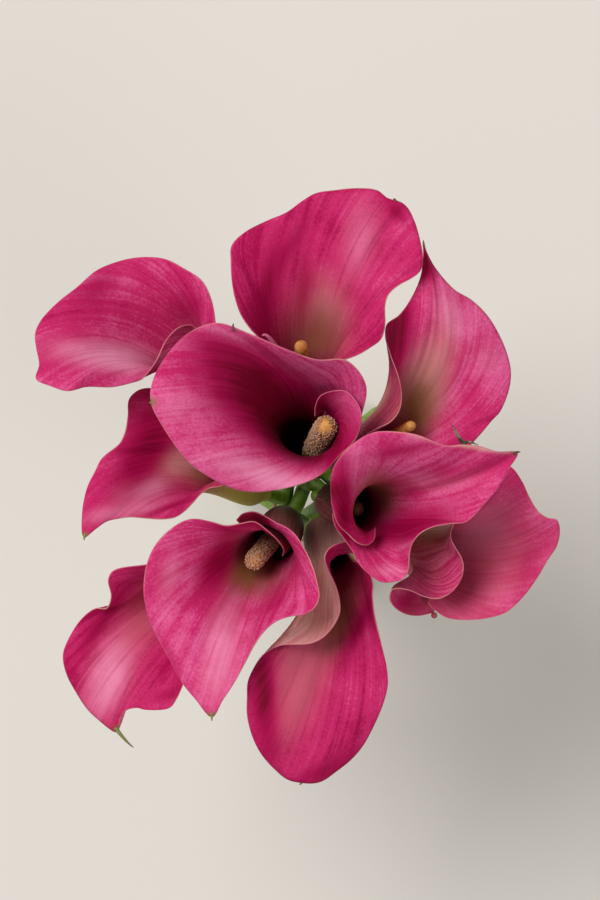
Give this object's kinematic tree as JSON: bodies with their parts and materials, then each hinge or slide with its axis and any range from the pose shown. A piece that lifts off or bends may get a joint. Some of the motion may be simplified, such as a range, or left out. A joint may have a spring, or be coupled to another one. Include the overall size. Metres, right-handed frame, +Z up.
{
  "type": "calla lily bouquet",
  "caption": "Hand-tied bunch of magenta calla lilies: flared rolled blooms with orange spadices on spiralled green stems, bound with cord and standing on the cut ends.",
  "frame": {"origin": "middle of the bounding box, on the surface that the cut stems stand on", "axes": "+Z up along the bunch; +Y is the picture's upward direction and +X its right, seen from straight above"},
  "size_m": [0.2166, 0.2444, 0.3221],
  "materials": {
    "petal": "waxy satin petal, magenta inside, tan and maroon outside",
    "spadix": "fine pollen grain, orange",
    "stem": "smooth satin green",
    "tie": "twisted natural cord, wound side by side"
  },
  "bodies": {
    "root": {"spathe_01": "petal", "spathe_02": "petal", "spathe_03": "petal", "spathe_04": "petal", "spathe_05": "petal", "spathe_06": "petal", "spathe_07": "petal", "spathe_08": "petal", "spathe_09": "petal", "spathe_10": "petal", "spadix_01": "spadix", "spadix_02": "spadix", "spadix_03": "spadix", "spadix_04": "spadix", "spadix_05": "spadix", "spadix_06": "spadix", "spadix_07": "spadix", "spadix_08": "spadix", "spadix_09": "spadix", "spadix_10": "spadix", "stem_01": "stem", "stem_02": "stem", "stem_03": "stem", "stem_04": "stem", "stem_05": "stem", "stem_06": "stem", "stem_07": "stem", "stem_08": "stem", "stem_09": "stem", "stem_10": "stem", "tie": "tie"}
  },
  "joints": []
}
